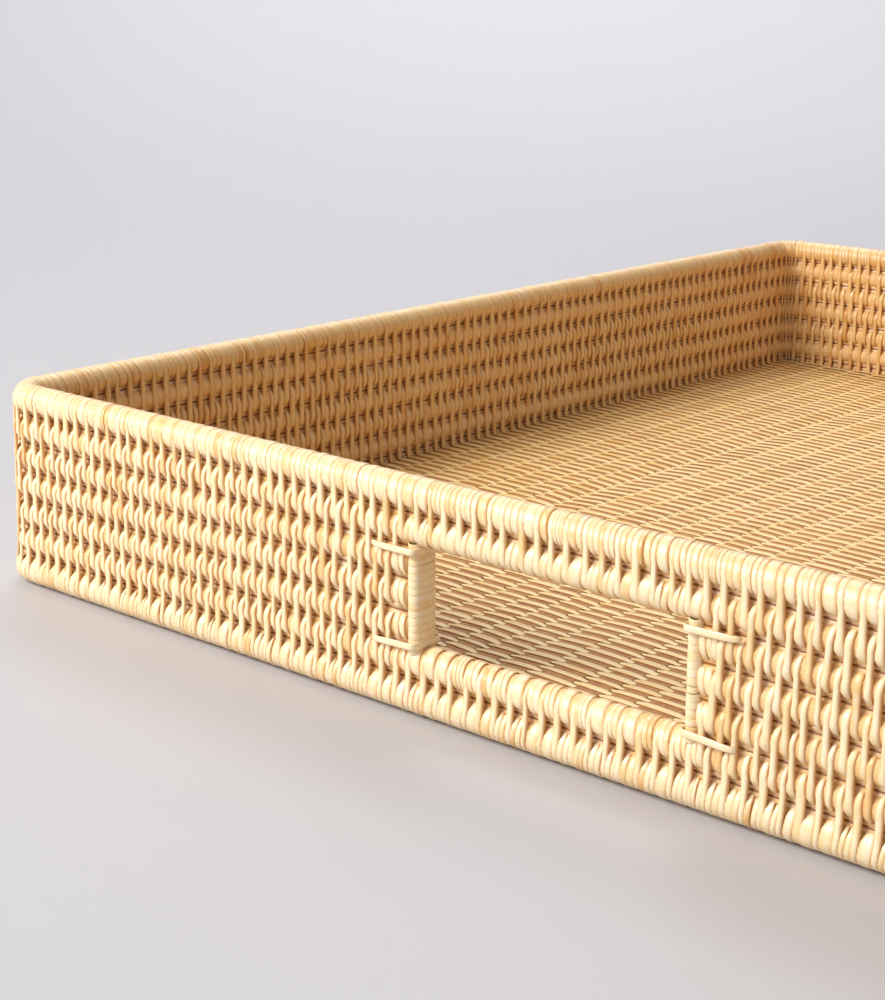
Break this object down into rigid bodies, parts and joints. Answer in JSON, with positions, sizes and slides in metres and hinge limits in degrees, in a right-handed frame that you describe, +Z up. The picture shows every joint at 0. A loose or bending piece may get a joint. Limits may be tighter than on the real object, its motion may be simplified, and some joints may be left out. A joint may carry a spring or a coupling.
{
  "type": "serving tray",
  "caption": "Square low-walled serving tray of stacked rattan rods sewn with split strips, with a framed hand slot in two facing walls.",
  "frame": {"origin": "middle of the tray on the surface that it stands on", "axes": "+Z up; the two walls with hand slots face -Y (front) and +Y (back), so X runs along them"},
  "size_m": [0.5082, 0.509, 0.0735],
  "materials": {
    "core_rod": "satin, peeled rattan core, tan",
    "wall_strip": "satin, split rattan strip, pale cream",
    "post_strip": "satin, split rattan strip, pale yellow",
    "floor_slat": "matt, peeled flat-oval rattan, brown",
    "floor_strip": "satin, split rattan strip, golden"
  },
  "bodies": {
    "root": {"rim_rod": "core_rod", "wall_rod_2": "core_rod", "wall_rod_6": "core_rod", "base_rod": "core_rod", "wall_rod_3_right": "core_rod", "wall_rod_3_left": "core_rod", "wall_rod_4_right": "core_rod", "wall_rod_4_left": "core_rod", "wall_rod_5_right": "core_rod", "wall_rod_5_left": "core_rod", "seam_strips_1": "wall_strip", "seam_strips_6": "wall_strip", "seam_strips_2_right": "wall_strip", "seam_strips_2_left": "wall_strip", "seam_strips_3_right": "wall_strip", "seam_strips_3_left": "wall_strip", "seam_strips_4_right": "wall_strip", "seam_strips_4_left": "wall_strip", "seam_strips_5_right": "wall_strip", "seam_strips_5_left": "wall_strip", "rim_wrap": "wall_strip", "base_wrap": "wall_strip", "slot_wrap_upper_front": "wall_strip", "slot_wrap_lower_front": "wall_strip", "post_wrap_front_left": "post_strip", "post_core_front_left": "core_rod", "tie_upper_front_left": "post_strip", "tie_lower_front_left": "post_strip", "post_wrap_front_right": "post_strip", "post_core_front_right": "core_rod", "tie_upper_front_right": "post_strip", "tie_lower_front_right": "post_strip", "slot_wrap_upper_back": "wall_strip", "slot_wrap_lower_back": "wall_strip", "post_wrap_back_left": "post_strip", "post_core_back_left": "core_rod", "tie_upper_back_left": "post_strip", "tie_lower_back_left": "post_strip", "post_wrap_back_right": "post_strip", "post_core_back_right": "core_rod", "tie_upper_back_right": "post_strip", "tie_lower_back_right": "post_strip", "floor_slats_1": "floor_slat", "floor_slats_2": "floor_slat", "floor_slats_3": "floor_slat", "floor_slats_4": "floor_slat", "floor_slats_5": "floor_slat", "floor_slats_6": "floor_slat", "floor_slats_7": "floor_slat", "floor_weave_1": "floor_strip", "floor_weave_2": "floor_strip", "floor_weave_3": "floor_strip", "floor_weave_4": "floor_strip", "floor_weave_5": "floor_strip", "floor_weave_6": "floor_strip", "floor_weave_7": "floor_strip", "floor_weave_8": "floor_strip"}
  },
  "joints": []
}
